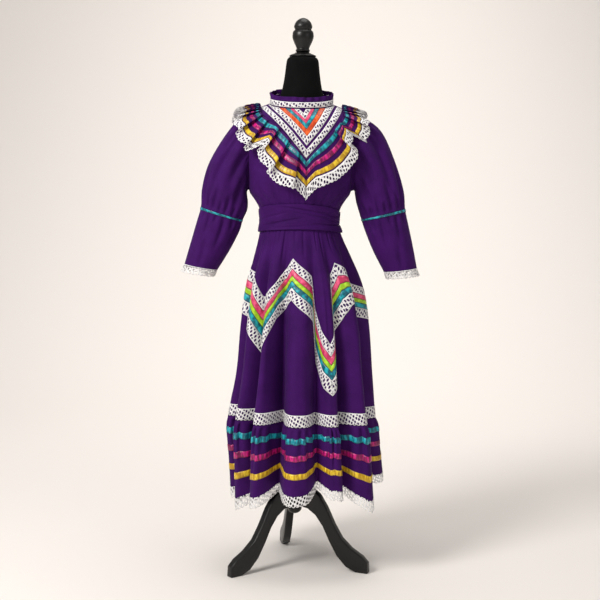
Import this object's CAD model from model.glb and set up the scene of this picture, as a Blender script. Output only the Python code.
import math

import bmesh
import bpy
import numpy as np
from mathutils import Matrix, Vector


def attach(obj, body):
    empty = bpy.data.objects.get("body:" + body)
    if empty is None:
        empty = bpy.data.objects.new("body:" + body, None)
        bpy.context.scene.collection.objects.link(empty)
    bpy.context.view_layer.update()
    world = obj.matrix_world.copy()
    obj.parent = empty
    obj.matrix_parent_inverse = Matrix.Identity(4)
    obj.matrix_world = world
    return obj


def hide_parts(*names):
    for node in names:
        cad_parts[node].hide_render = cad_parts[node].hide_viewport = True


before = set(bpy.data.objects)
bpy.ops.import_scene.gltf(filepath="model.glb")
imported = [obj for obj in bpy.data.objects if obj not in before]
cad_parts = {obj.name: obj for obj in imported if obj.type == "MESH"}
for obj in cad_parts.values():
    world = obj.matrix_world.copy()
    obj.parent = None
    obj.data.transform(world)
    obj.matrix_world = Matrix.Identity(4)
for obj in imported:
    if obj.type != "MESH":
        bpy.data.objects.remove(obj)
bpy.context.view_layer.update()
bpy.ops.object.select_all(action="DESELECT")

# Cloth
COTTON = 0.0014  # thickness of the purple cotton
RIBBON = 0.0006  # thickness of the satin ribbons
LACE = 0.0006  # thickness of the lace
TRIM_LIFT = 0.0009  # from a panel's outer face to the outer face of a trim on it
SEAM_GAP = 0.0002  # half the gap between two pieces that are sewn together
EDGE_GAP = 0.0003  # from a piece's edge to the line where it meets the next one

# Heights
WAIST_SEAM = 1.040
FLOUNCE_SEAM = 0.460

# Rings of the bodice's outer face: key height, width, depth, squareness, turn in degrees, tilt
BODICE = np.array([
    (1.040, 0.115, 0.086, 2.2, 2, 0.00),
    (1.085, 0.121, 0.091, 2.2, 3, 0.00),
    (1.108, 0.134, 0.097, 2.3, 4, 0.00),
    (1.130, 0.149, 0.103, 2.4, 4, 0.00),
    (1.160, 0.153, 0.107, 2.5, 5, 0.00),
    (1.230, 0.162, 0.109, 2.5, 6, 0.00),
    (1.300, 0.168, 0.101, 2.5, 6, 0.03),
    (1.345, 0.168, 0.089, 2.4, 4, 0.10),
    (1.368, 0.148, 0.080, 2.4, 2, 0.18),
    (1.380, 0.118, 0.073, 2.3, 1, 0.22),
    (1.390, 0.092, 0.068, 2.2, 0, 0.24),
])
BODICE_TOP = 1.390
ARMHOLE_X = 0.151  # distance of each armhole's plane from the middle
ARMHOLE_MIDDLE = 1.252
YOKE_SLOPE = 1.22  # rise of the yoke's V lines for each metre sideways
YOKE_END = 0.0015  # from the neckline down to where the V strips end

# Soft creases of the bodice: from (angle, height) to (angle, height), breadth, depth; ridges are negative
BODICE_CREASES = [
    (-15, 1.085, -13, 1.150, 0.0040, 0.0030),
    (-9, 1.085, -10, 1.175, 0.0045, 0.0036),
    (-3, 1.088, -5, 1.140, 0.0035, 0.0022),
    (5, 1.088, 4, 1.130, 0.0040, 0.0024),
    (14, 1.085, 16, 1.128, 0.0045, 0.0026),
    (24, 1.080, 29, 1.150, 0.0060, 0.0028),
    (-27, 1.080, -34, 1.165, 0.0060, 0.0034),
    (-44, 1.085, -58, 1.175, 0.0090, 0.0042),
    (40, 1.085, 55, 1.165, 0.0085, 0.0038),
    (62, 1.080, 74, 1.140, 0.0070, 0.0034),
    (-66, 1.080, -77, 1.135, 0.0070, 0.0036),
    (-30, 1.190, -62, 1.215, 0.0100, 0.0030),
    (34, 1.185, 62, 1.205, 0.0100, 0.0026),
    (-56, 1.200, -66, 1.290, 0.0100, -0.0026),
    (58, 1.200, 68, 1.290, 0.0100, -0.0026),
    (104, 1.080, 96, 1.150, 0.0070, 0.0034),
    (118, 1.085, 112, 1.190, 0.0080, 0.0036),
    (140, 1.082, 133, 1.160, 0.0070, 0.0032),
    (158, 1.085, 154, 1.215, 0.0080, 0.0034),
    (171, 1.088, 170, 1.150, 0.0045, 0.0026),
    (183, 1.088, 184, 1.180, 0.0050, 0.0032),
    (196, 1.085, 198, 1.145, 0.0045, 0.0028),
    (211, 1.085, 218, 1.200, 0.0080, 0.0036),
    (231, 1.082, 240, 1.150, 0.0070, 0.0034),
    (250, 1.080, 258, 1.145, 0.0070, 0.0032),
    (140, 1.225, 118, 1.250, 0.0100, 0.0030),
    (218, 1.230, 243, 1.255, 0.0100, 0.0028),
]
METRES_PER_DEGREE = 0.0024  # on the bodice, for the breadth of its creases

# Rings of the skirt: height, reach to the left, right, front and back over the crests, how far the folds open
SKIRT = np.array([
    (0.4602, 0.207, 0.243, 0.205, 0.222, 1.00),
    (0.6000, 0.185, 0.231, 0.193, 0.205, 0.88),
    (0.7400, 0.174, 0.218, 0.172, 0.180, 0.66),
    (0.8600, 0.157, 0.194, 0.145, 0.148, 0.40),
    (0.9400, 0.134, 0.158, 0.118, 0.120, 0.17),
    (1.0050, 0.119, 0.127, 0.095, 0.095, 0.04),
    (1.0398, 0.115, 0.115, 0.086, 0.086, 0.00),
])

# The hanging folds, from the front left round by the right: direction of the crest and of the next valley,
# the crest's reach against the skirt's ring, the valley's depth and the height of the flounce's edge
FOLDS = np.array([
    (-61.0, -48.0, 0.97, 0.085, 0.220),
    (-34.0, -20.0, 1.00, 0.090, 0.246),
    (2.0, 21.5, 0.98, 0.056, 0.262),
    (30.0, 43.0, 1.00, 0.060, 0.277),
    (54.0, 69.0, 1.10, 0.080, 0.236),
    (90.0, 107.0, 0.98, 0.070, 0.296),
    (124.0, 140.0, 0.98, 0.064, 0.268),
    (157.0, 172.0, 0.98, 0.072, 0.232),
    (188.0, 203.0, 0.98, 0.062, 0.214),
    (218.0, 233.0, 1.03, 0.074, 0.218),
    (248.0, 262.0, 1.06, 0.066, 0.236),
    (275.0, 287.0, 0.99, 0.058, 0.240),
])
CREST_BREADTH = 1.5  # 1 for even waves, more for broad crests and narrow valleys
HEM_RISE = 0.026  # how much the hem rises in a valley
LEFT_DRAW = 0.036  # how much less the hem flares at the left side
RIGHT_SEAM = 5.65  # places of the skirt's side seams along the folds
LEFT_SEAM = -0.65
FLOUNCE_RIGHT_SEAM = 5.50  # and of the flounce's
FLOUNCE_LEFT_SEAM = -0.70
METRES_PER_FOLD = 0.085

# Small pleats under the sash: place along the folds, length and depth
WAIST_PLEATS = [
    (0.12, 0.060, 0.0030), (0.38, 0.105, 0.0042), (0.71, 0.050, 0.0030), (1.18, 0.080, 0.0034),
    (1.47, 0.055, 0.0028), (1.80, 0.120, 0.0040), (2.28, 0.060, 0.0030), (2.63, 0.095, 0.0036),
    (3.35, 0.070, 0.0030), (3.72, 0.110, 0.0036), (4.30, 0.075, 0.0030), (4.66, 0.100, 0.0036),
    (5.15, 0.065, 0.0034), (5.52, 0.110, 0.0042), (6.10, 0.060, 0.0030), (6.44, 0.120, 0.0040),
    (6.80, 0.070, 0.0032), (7.30, 0.095, 0.0034), (7.66, 0.060, 0.0030), (8.21, 0.085, 0.0036),
    (8.55, 0.125, 0.0042), (9.15, 0.070, 0.0032), (9.50, 0.100, 0.0036), (9.88, 0.055, 0.0030),
    (10.33, 0.090, 0.0036), (10.70, 0.115, 0.0040), (11.20, 0.065, 0.0032), (11.62, 0.095, 0.0036),
]
# Soft ridges and troughs down the skirt: from (place, height) to (place, height), breadth, depth
SKIRT_CREASES = [
    (0.40, 0.93, 0.30, 0.58, 0.011, 0.0040),
    (0.78, 0.80, 0.72, 0.50, 0.010, -0.0035),
    (1.35, 0.90, 1.32, 0.52, 0.012, 0.0050),
    (1.72, 0.78, 1.70, 0.49, 0.010, 0.0040),
    (2.40, 0.96, 2.36, 0.64, 0.012, 0.0042),
    (2.66, 0.74, 2.70, 0.48, 0.010, 0.0036),
    (3.50, 0.86, 3.45, 0.60, 0.008, 0.0030),
    (4.38, 0.92, 4.30, 0.52, 0.012, 0.0042),
    (4.62, 0.70, 4.68, 0.48, 0.010, 0.0046),
    (5.30, 0.88, 5.26, 0.50, 0.013, 0.0050),
    (5.66, 0.96, 5.74, 0.62, 0.011, 0.0040),
    (6.40, 0.90, 6.34, 0.49, 0.013, 0.0048),
    (6.72, 0.72, 6.70, 0.50, 0.010, 0.0036),
    (7.36, 0.94, 7.30, 0.56, 0.012, 0.0046),
    (7.62, 0.76, 7.66, 0.48, 0.010, 0.0038),
    (8.44, 0.92, 8.40, 0.60, 0.011, 0.0040),
    (8.70, 0.70, 8.66, 0.49, 0.010, 0.0034),
    (9.34, 0.88, 9.36, 0.50, 0.012, 0.0046),
    (9.70, 0.95, 9.64, 0.66, 0.010, 0.0036),
    (10.42, 0.90, 10.36, 0.52, 0.012, 0.0044),
    (10.68, 0.74, 10.72, 0.50, 0.010, 0.0038),
    (11.38, 0.92, 11.42, 0.54, 0.012, 0.0044),
]

# Rings of the flounce: share of its height, flare outwards
FLOUNCE = np.array([(0.0, 0.000), (0.12, 0.008), (0.56, 0.017), (1.0, 0.026)])
HEM_LACE_SHARE = 0.14  # height of the hem's lace against the flounce's height
# Gathers of one lobe of the flounce: place across it from valley to valley, lean, length, depth
LOBE_GATHERS = [
    [(-0.62, -0.10, 0.60, 0.0060), (-0.30, -0.02, 0.90, 0.0085), (0.02, 0.06, 0.45, 0.0050),
     (0.30, 0.05, 0.75, 0.0080), (0.66, 0.10, 0.55, 0.0060)],
    [(-0.70, -0.08, 0.50, 0.0050), (-0.42, -0.05, 0.70, 0.0080), (-0.10, 0.00, 0.95, 0.0090),
     (0.20, 0.04, 0.50, 0.0055), (0.52, 0.08, 0.80, 0.0075)],
    [(-0.56, -0.06, 0.85, 0.0080), (-0.22, -0.04, 0.50, 0.0060), (0.10, 0.03, 0.65, 0.0075),
     (0.40, 0.06, 0.95, 0.0085), (0.74, 0.08, 0.45, 0.0050)],
    [(-0.66, -0.10, 0.70, 0.0070), (-0.36, 0.02, 0.45, 0.0050), (-0.04, -0.03, 0.80, 0.0085),
     (0.34, 0.02, 0.55, 0.0065), (0.60, 0.09, 0.70, 0.0070)],
]
# Ribbons on the flounce: share of its height at their upper and lower edges
FLOUNCE_RIBBONS = {
    "flounce_ribbon_turquoise": (0.160, 0.245),
    "flounce_ribbon_magenta": (0.400, 0.485),
    "flounce_ribbon_yellow": (0.660, 0.745),
}
LACE_BAND_HEIGHT = 0.036  # of the lace over the flounce's seam
GATHER_DEPTH = 1.7  # all of the flounce's gathers against the table
GATHER_SAG = 0.4  # how far the cloth drops in a gather, against its depth
FLOUNCE_PUFF = 0.003  # how far the flounce stands out below its seam

# Corners of the zigzag's upper edge: place along the folds, height, and how tall the strips are there against
# their plain height, as a steep strip measures taller straight down
ZIGZAG = np.array([
    (-1.00, 0.930, 0.80), (-0.30, 0.902, 0.90), (0.55, 0.879, 1.02), (0.87, 0.827, 1.15), (1.40, 0.842, 1.10),
    (1.80, 0.888, 0.80), (2.27, 0.943, 0.80), (2.92, 0.892, 0.88), (3.03, 0.797, 1.05), (3.22, 0.737, 1.10),
    (3.52, 0.700, 1.00), (3.70, 0.727, 1.05), (4.00, 0.896, 1.10), (4.25, 0.931, 1.00), (4.50, 0.924, 0.78),
    (4.68, 0.914, 0.66), (5.10, 0.866, 0.65), (5.35, 0.854, 0.63), (5.65, 0.846, 0.68), (6.17, 0.735, 1.08),
    (7.00, 0.940, 0.75), (7.65, 0.715, 1.05), (8.65, 0.945, 0.75), (9.83, 0.720, 1.08), (11.00, 0.930, 0.80),
])
ZIGZAG_RING = 0.860  # the zigzag runs straight where the skirt is laid flat at this height
STRIP_GAP = 0.0007  # the purple that shows at each long edge of a strip
ZIGZAG_SLANT = 0.54  # a strip's own width against its height straight down the skirt
# Strips of the zigzag from the top down, each as high as it measures straight down the skirt
ZIGZAG_STRIPS = {
    "zigzag_lace_upper": 0.037,
    "zigzag_ribbon_pink": 0.024,
    "zigzag_ribbon_lime": 0.019,
    "zigzag_ribbon_turquoise": 0.024,
    "zigzag_lace_lower": 0.046,
}

# V strips on the front yoke: heights of their upper and lower tips on the middle line
YOKE_STRIPS = {
    "yoke_lace_top": (1.3620, 1.3440),
    "yoke_ribbon_pink": (1.3440, 1.3310),
    "yoke_ribbon_turquoise": (1.3310, 1.3150),
    "yoke_ribbon_orange": (1.3150, 1.2950),
    "yoke_lace_inner": (1.2950, 1.2680),
    "yoke_lace_outer": (1.2570, 1.2310),
}

# Sewing line of the yoke's ruffle from the front tip over the shoulder: angle, height, depth of the ruffle
RUFFLE_LINE = np.array([
    (0, 1.229, 0.120), (20, 1.298, 0.090), (32, 1.338, 0.088), (45, 1.363, 0.084), (60, 1.375, 0.076),
    (90, 1.380, 0.072), (118, 1.375, 0.078), (138, 1.360, 0.084), (158, 1.326, 0.088), (180, 1.296, 0.096),
])
# How much further its free edge reaches where it hangs in large folds, round from the front tip: angle, reach
RUFFLE_SWAY = np.array([
    (0, 0.000), (7, 0.001), (11, 0.013), (15, 0.022), (20, 0.024), (24, 0.018), (34, -0.036),
    (36, 0.012), (46, 0.000), (58, -0.012), (70, -0.010), (90, 0.000), (134, 0.000),
    (148, 0.012), (160, 0.006), (168, -0.006), (180, 0.000), (200, 0.010), (221, -0.008), (226, 0.012),
    (246, -0.010), (252, 0.006), (270, 0.000), (285, -0.008), (298, -0.010), (310, 0.004), (320, 0.020),
    (326, 0.024), (329, -0.014), (336, 0.014), (340, 0.026), (344, 0.028), (349, 0.014), (353, 0.001),
    (360, 0.000),
])
RUFFLE_FOLDS = 40
RUFFLE_LIFT = 0.0041  # from the bodice to the ruffle's outer face
RUFFLE_WAVE = np.array([(0.0, 0.006), (0.5, 0.010), (1.0, 0.012)])  # share of the depth, height of the folds
MITRE_END = 27  # degrees from the front tip where the ruffle's mitre ends
RUFFLE_LACE_SHARE = 0.72
RUFFLE_RIBBONS = {
    "ruffle_ribbon_turquoise": (0.06, 0.19),
    "ruffle_ribbon_magenta": (0.28, 0.41),
    "ruffle_ribbon_yellow": (0.53, 0.66),
}
# How full each of the ruffle's folds is, from the front tip round by the viewer's right
FOLD_FULLNESS = [
    0.10, 0.20, 0.30, 1.50, 0.60, 1.20, 0.80, 1.10, 1.00, 0.90,
    1.20, 0.80, 1.10, 1.00, 1.30, 0.70, 1.00, 1.20, 0.60, 0.80,
    0.80, 1.10, 0.90, 1.30, 1.00, 0.70, 1.20, 0.90, 1.10, 1.00,
    0.90, 1.10, 1.30, 1.00, 1.20, 1.00, 1.60, 1.70, 1.60, 0.35,
]
PLEAT_PEAK = 0.80  # where a fold is highest, from its start to its end
PLEAT_SLIP = 0.0075  # how much a fold slides down and up again along the ruffle's depth
PLEAT_OVERLAP = 1.5  # how far a fold leans over the next one, against its height

# Rings of each sleeve: x and height of the outer and of the inner point, half the depth
SLEEVES = {
    "left": np.array([
        (-0.184, 1.345, -0.157, 1.132, 0.064),
        (-0.228, 1.290, -0.156, 1.120, 0.066),
        (-0.272, 1.212, -0.1535, 1.100, 0.064),
        (-0.291, 1.140, -0.156, 1.076, 0.060),
        (-0.294, 1.084, -0.169, 1.047, 0.052),
        (-0.306, 1.040, -0.178, 1.015, 0.052),
        (-0.325, 0.972, -0.207, 0.956, 0.049),
        (-0.342, 0.911, -0.244, 0.895, 0.045),
    ]),
    "right": np.array([
        (0.190, 1.352, 0.160, 1.140, 0.064),
        (0.240, 1.312, 0.163, 1.126, 0.066),
        (0.281, 1.226, 0.167, 1.106, 0.064),
        (0.308, 1.142, 0.174, 1.084, 0.060),
        (0.314, 1.088, 0.184, 1.055, 0.052),
        (0.325, 1.040, 0.197, 1.018, 0.052),
        (0.341, 0.972, 0.222, 0.960, 0.049),
        (0.354, 0.910, 0.256, 0.897, 0.045),
    ]),
}
SEAM_RING = 5  # the ring where the sleeve's ribbon lies; ring 0 is the armhole
SLEEVE_RIBBON_HEIGHT = 0.009
CUFF_LACE_HEIGHT = 0.022
CUFF_LACE_TUCK = 0.003  # how far it goes up over the sleeve's edge
# Waves round a cuff's lace and round the collar: how many, where they start, height
CUFF_LACE_WAVES = [(11, 0.0, 0.0016), (4, 1.0, 0.0012)]
BAND_WAVES = [(5, 0.6, 0.0012)]
FRILL_UNEVENNESS = [(5, 1.1, 0.35), (3, 0.4, 0.25)]
FRILL_FLOP = [(7, 0.5, 0.0012)]
# Creases of a sleeve: from (degrees round from its outer edge by the front, ring) to the same, breadth, depth
SLEEVE_CREASES = [
    (18, 0.1, 22, 1.6, 0.0050, 0.0045),
    (36, 0.1, 42, 2.3, 0.0065, 0.0060),
    (54, 0.2, 58, 3.9, 0.0100, 0.0085),
    (76, 0.1, 84, 2.6, 0.0110, -0.0045),
    (98, 0.4, 96, 3.2, 0.0110, 0.0060),
    (132, 1.0, 118, 4.6, 0.0090, 0.0065),
    (26, 3.0, 34, 5.0, 0.0070, 0.0050),
    (50, 3.9, 47, 5.0, 0.0045, 0.0045),
    (72, 3.3, 66, 5.0, 0.0060, 0.0055),
    (86, 4.1, 84, 5.0, 0.0040, 0.0040),
    (104, 3.6, 100, 5.0, 0.0055, 0.0050),
    (124, 4.2, 120, 5.0, 0.0040, 0.0040),
    (148, 3.5, 142, 5.0, 0.0060, 0.0050),
    (38, 5.0, 36, 5.9, 0.0050, 0.0036),
    (58, 5.0, 62, 6.5, 0.0060, 0.0044),
    (80, 5.0, 78, 5.8, 0.0045, 0.0034),
    (101, 5.0, 106, 6.9, 0.0070, 0.0048),
    (126, 5.0, 128, 6.0, 0.0050, 0.0036),
    (150, 5.0, 146, 6.6, 0.0060, 0.0040),
    (70, 6.6, 84, 7.9, 0.0100, 0.0036),
    (188, 1.4, 196, 4.7, 0.0090, 0.0060),
    (226, 0.6, 232, 3.8, 0.0110, 0.0075),
    (252, 0.2, 262, 2.9, 0.0100, -0.0045),
    (284, 0.3, 280, 4.0, 0.0100, 0.0070),
    (312, 0.1, 306, 2.2, 0.0060, 0.0055),
    (338, 0.1, 336, 1.7, 0.0050, 0.0045),
    (206, 3.8, 210, 5.0, 0.0050, 0.0045),
    (238, 3.4, 236, 5.0, 0.0060, 0.0055),
    (262, 4.0, 258, 5.0, 0.0045, 0.0045),
    (292, 3.6, 296, 5.0, 0.0060, 0.0050),
    (324, 4.0, 322, 5.0, 0.0045, 0.0045),
    (214, 5.0, 218, 6.4, 0.0060, 0.0042),
    (246, 5.0, 242, 6.0, 0.0050, 0.0036),
    (274, 5.0, 278, 6.8, 0.0065, 0.0046),
    (310, 5.0, 306, 6.0, 0.0050, 0.0038),
    (340, 5.0, 344, 6.3, 0.0050, 0.0036),
]
SLEEVE_CREASE_DEPTH = 1.6  # all of the sleeves' creases against the table
METRES_PER_SLEEVE_DEGREE = 0.00105
METRES_PER_SLEEVE_RING = 0.056
ARMHOLE_GATHERS = 26  # small pleats where the sleeve's head is sewn in
ARMHOLE_GATHER_DEPTH = 0.0016

# Collar: heights above the neckline
BAND_TOP = 0.021
COLLAR_LACE = (0.004, 0.0195)
FRILL_TOP = 0.035
FRILL_WAVES = 24
FRILL_WAVE = 0.003
FRILL_CLOTH = 0.0009

# Sash: its lower and upper edges, and how much they rise towards the middle of the front
SASH_LOW, SASH_LOW_RISE = 1.013, 0.012
SASH_TOP, SASH_TOP_RISE = 1.073, 0.027
SASH_SLANT = 0.004  # how far its upper edge drops to the viewer's right and rises to the left
SASH_BREADTH = 0.0022  # how far the folded sash stands out
SASH_CLOTH = 0.0016
# Folds of the sash: from (angle, height) to (angle, height), breadth, depth
SASH_CREASES = [
    (-80, 1.044, -22, 1.074, 0.0030, 0.0030),
    (-70, 1.032, 6, 1.060, 0.0034, 0.0036),
    (-30, 1.092, 64, 1.062, 0.0036, 0.0044),
    (-14, 1.078, 70, 1.046, 0.0028, 0.0034),
    (-60, 1.026, 30, 1.038, 0.0030, 0.0028),
    (20, 1.042, 96, 1.036, 0.0030, 0.0030),
    (84, 1.058, 150, 1.050, 0.0036, 0.0024),
    (100, 1.034, 190, 1.036, 0.0030, 0.0022),
    (140, 1.052, 222, 1.046, 0.0036, 0.0024),
    (186, 1.034, 262, 1.040, 0.0030, 0.0020),
    (214, 1.058, 276, 1.054, 0.0030, 0.0020),
]

# Rings of the dress form: height, width, depth, squareness, turn in degrees, tilt
FORM = np.array([
    (0.820, 0.096, 0.074, 2.2, 0, 0.00),
    (0.828, 0.104, 0.079, 2.2, 0, 0.00),
    (0.840, 0.108, 0.082, 2.2, 0, 0.00),
    (0.960, 0.108, 0.082, 2.2, 0, 0.00),
    (1.040, 0.109, 0.080, 2.2, 0, 0.00),
    (1.110, 0.122, 0.090, 2.3, 0, 0.00),
    (1.160, 0.138, 0.097, 2.4, 0, 0.00),
    (1.300, 0.146, 0.092, 2.5, 0, 0.03),
    (1.344, 0.146, 0.084, 2.4, 4, 0.10),
    (1.366, 0.144, 0.076, 2.4, 2, 0.18),
    (1.377, 0.114, 0.069, 2.3, 1, 0.22),
    (1.383, 0.084, 0.062, 2.2, 0, 0.24),
    (1.402, 0.068, 0.061, 2.0, 0, 0.16),
    (1.424, 0.061, 0.057, 2.0, 0, 0.06),
    (1.450, 0.0555, 0.053, 2.0, 0, 0.02),
    (1.476, 0.0515, 0.050, 2.0, 0, 0.00),
    (1.512, 0.048, 0.047, 2.0, 0, 0.00),
    (1.520, 0.0465, 0.0457, 2.0, 0, 0.00),
    (1.526, 0.0425, 0.0425, 2.0, 0, 0.00),
    (1.529, 0.0375, 0.0375, 2.0, 0, 0.00),
])
NECK_X = 0.0015  # middle of the neck, cap and finial
NECK_START = 1.37  # height from which the form leans over to it
LATHE_SEGMENTS = 48
DRAWN_STEP = 0.01  # height between the form's rings before they are shaped

# Turned pieces of the stand: radius and height from the bottom up
CAP = [
    (0.0385, 1.5293), (0.0395, 1.5300), (0.0395, 1.5322), (0.0385, 1.5333), (0.0300, 1.5365),
    (0.0240, 1.5392), (0.0205, 1.5414), (0.0190, 1.5420),
]
FINIAL = [
    (0.0165, 1.5423), (0.0195, 1.5436), (0.0210, 1.5458), (0.0210, 1.5486), (0.0192, 1.5506),
    (0.0185, 1.5522), (0.0196, 1.5560), (0.0222, 1.5624), (0.0258, 1.5698), (0.0290, 1.5772),
    (0.0309, 1.5832), (0.0315, 1.5890), (0.0309, 1.5964), (0.0293, 1.6022), (0.0262, 1.6052),
    (0.0240, 1.6072), (0.0244, 1.6096), (0.0262, 1.6122), (0.0270, 1.6164), (0.0258, 1.6216),
    (0.0228, 1.6282), (0.0180, 1.6342), (0.0120, 1.6386), (0.0055, 1.6412), (0.0015, 1.6420),
]
POLE = [(0.0115, 0.2623), (0.0125, 0.2640), (0.0125, 0.8180), (0.0115, 0.8197)]
HUB = [
    (0.0060, 0.1572), (0.0120, 0.1596), (0.0168, 0.1632), (0.0200, 0.1672), (0.0216, 0.1716),
    (0.0220, 0.1760), (0.0220, 0.2100), (0.0213, 0.2116), (0.0220, 0.2132), (0.0220, 0.2530),
    (0.0206, 0.2580), (0.0174, 0.2612), (0.0125, 0.2620),
]

# Legs: upper and lower edge from the root to the toe, as reach from the middle and height
LEG_THICKNESS = 0.024
LEG_AZIMUTHS = {"leg_left": -51.6, "leg_right": 68.4, "leg_back": 188.4}
LEG_UPPER = [
    (0.0226, 0.2500), (0.0480, 0.2480), (0.0820, 0.2240), (0.1060, 0.1880), (0.1310, 0.1380),
    (0.1560, 0.0980), (0.1880, 0.0700), (0.2220, 0.0500), (0.2400, 0.0320),
]
LEG_LOWER = [
    (0.0226, 0.1820), (0.0460, 0.1780), (0.0720, 0.1600), (0.0960, 0.1280), (0.1180, 0.0840),
    (0.1430, 0.0420), (0.1720, 0.0130), (0.2030, 0.0000), (0.2420, 0.0000),
]


# Reading the tables and the shapes they describe

def smooth_read(table, place):
    """The other columns of a table at a place along its first column, on a smooth curve through its rows."""
    keys, values = table[:, 0], table[:, 1:]
    secants = np.diff(values, axis=0) / np.diff(keys)[:, None]
    slopes = np.vstack([secants[:1], (secants[1:] + secants[:-1]) / 2, secants[-1:]])
    turning = secants[1:] * secants[:-1] <= 0
    slopes[1:-1][turning] = 0
    place = np.clip(place, keys[0], keys[-1])
    low = np.clip(np.searchsorted(keys, place, side="right") - 1, 0, len(keys) - 2)
    step = (keys[low + 1] - keys[low])[..., None]
    share = (place - keys[low])[..., None] / step
    start, end = values[low], values[low + 1]
    leave, arrive = slopes[low] * step, slopes[low + 1] * step
    square, cube = share**2, share**3
    return (
        start * (2 * cube - 3 * square + 1)
        + leave * (cube - 2 * square + share)
        + end * (3 * square - 2 * cube)
        + arrive * (cube - square)
    )


def columns_of(rows):
    return np.moveaxis(rows, -1, 0)


def blend(start, end, share):
    return start + (end - start) * share


def smooth_step(share):
    held = np.clip(share, 0, 1)
    return held * held * (3 - 2 * held)


def waves(turned, table):
    """The sum of a table's waves at places round a ring."""
    return sum(height * np.sin(turned * count + start) for count, start, height in table)


def ring_point(table, angle, key, middle=0.0):
    """A point of a rounded ring, with the angle in degrees from the front towards +X."""
    width, depth, square, turn, tilt = columns_of(smooth_read(table, key))
    turned = np.radians(angle + turn)
    side, front = np.sin(turned), np.cos(turned)
    reach = (np.abs(side) ** square + np.abs(front) ** square) ** (-1 / square)
    y = -depth * front * reach
    return np.stack([middle + width * side * reach, y, key + tilt * y], axis=-1)


def lifted(surface, across, along, lift, step_across, step_along=0.002):
    """Points of a surface moved out along its normals."""
    rightward = surface(across + step_across, along) - surface(across - step_across, along)
    upward = surface(across, along + step_along) - surface(across, along - step_along)
    normal = np.cross(rightward, upward)
    normal /= np.linalg.norm(normal, axis=-1, keepdims=True)
    return surface(across, along) + normal * np.broadcast_to(lift, across.shape)[..., None]


def crease_depth(across, along, creases, scale_across, scale_along=1.0, period=360.0):
    """How deep soft troughs and ridges are at a place; each runs between two points and fades at its ends."""
    total = np.zeros(np.broadcast(across, along).shape)
    for from_across, from_along, to_across, to_along, breadth, depth in creases:
        run = (to_across - from_across) * scale_across
        rise = (to_along - from_along) * scale_along
        beside = ((across - from_across + period / 2) % period - period / 2) * scale_across
        above = (along - from_along) * scale_along
        share = (beside * run + above * rise) / (run * run + rise * rise)
        held = np.clip(share, 0, 1)
        away = np.hypot(beside - held * run, above - held * rise)
        taper = 1 - 0.75 * (2 * held - 1) ** 2
        total += depth * taper * np.exp(-((away / breadth) ** 2))
    return total


# Bodice

def bodice_base(angle, key):
    """A point of the plain bodice, before its creases."""
    return ring_point(BODICE, angle, key)


def bodice_creases(angle, key):
    return crease_depth(angle, key, BODICE_CREASES, METRES_PER_DEGREE)


def on_bodice(angle, key, lift=0.0):
    """A point of the bodice's creased outer face, or above it."""
    return lifted(bodice_base, angle, key, lift - bodice_creases(angle, key), 1.5)


def bodice_key(angle, height_at):
    """The key height at which each direction of the bodice meets a height that may depend on the point."""
    keys = np.linspace(WAIST_SEAM, BODICE_TOP, 160)
    columns, rows = np.meshgrid(angle, keys)
    points = bodice_base(columns, rows)
    over = points[..., 2] - height_at(columns, points)
    over = np.maximum.accumulate(over, axis=0)
    return np.array([np.interp(0.0, over[:, c], keys) for c in range(len(angle))])


# Skirt and flounce

def fold_place(place):
    """Direction, valley depth, reach and hem height for a place along the folds, counted in folds."""
    index = np.floor(place).astype(int) % len(FOLDS)
    station = (place % 1) * 2 - 1
    left_half = station < 0
    following = (index + 1) % len(FOLDS)
    before = FOLDS[index - 1, 1] - np.where(index == 0, 360, 0)
    crest, valley, reach, depth, hem = columns_of(FOLDS[index])
    angle = np.where(left_half, blend(crest, before, -station), blend(crest, valley, station))
    height = 0.5 + 0.5 * np.cos(np.pi * np.abs(station) ** CREST_BREADTH)
    other = np.where(left_half, index - 1, following)
    share = np.abs(station) / 2
    valley_depth = np.where(left_half, FOLDS[index - 1, 3], depth) * (1 - height)
    full_reach = blend(reach, FOLDS[other, 2], share)
    full_hem = blend(hem, FOLDS[other, 4], share) + HEM_RISE * (1 - height)
    return angle, valley_depth, full_reach, full_hem


def skirt_ring(place, key, flare, height):
    """A point that a ring of the skirt has in the direction of a place, moved out by the flare."""
    angle, valley, reach, _ = fold_place(place)
    left, right, front, back, opened = columns_of(smooth_read(SKIRT, key))
    turned = np.radians(angle)
    side, forward = np.sin(turned), np.cos(turned)
    width = np.where(side > 0, right, left)
    depth = np.where(forward > 0, front, back)
    full = 1 / np.hypot(side / width, forward / depth)
    radius = full * blend(1, reach, opened) - valley * opened + flare
    return np.stack([radius * side, -radius * forward, height], axis=-1)


def skirt_base(place, height):
    return skirt_ring(place, height, 0.0, height)


def skirt_creases(place, height):
    pleats = [
        (at, WAIST_SEAM, at + 0.02, WAIST_SEAM - length, 0.0045, depth) for at, length, depth in WAIST_PLEATS
    ]
    folds = len(FOLDS)
    return crease_depth(place, height, pleats + SKIRT_CREASES, METRES_PER_FOLD, period=folds)


def on_skirt(place, height, lift=0.0):
    """A point of the skirt's creased outer face, or above it."""
    seam = smooth_step((height - FLOUNCE_SEAM) / 0.03)
    return lifted(skirt_base, place, height, lift - skirt_creases(place, height) * seam, 0.01)


def gather_depth(place, share):
    """How deep the flounce's gathers are at a place: nothing at the seam, deepest just below it."""
    total = np.zeros(place.shape)
    for index in range(len(FOLDS)):
        lobe = LOBE_GATHERS[(index * 3) % len(LOBE_GATHERS)]
        for station, lean, length, depth in lobe:
            middle = index + (station + 1) / 2 + lean * share
            beside = (place - middle + len(FOLDS) / 2) % len(FOLDS) - len(FOLDS) / 2
            breadth = 0.035 + 0.060 * share
            start = smooth_step(share / 0.09)
            fade = 1 - 0.8 * smooth_step(share / length)
            total += depth * start * fade * np.exp(-((beside / breadth) ** 2))
    return total * GATHER_DEPTH


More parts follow.
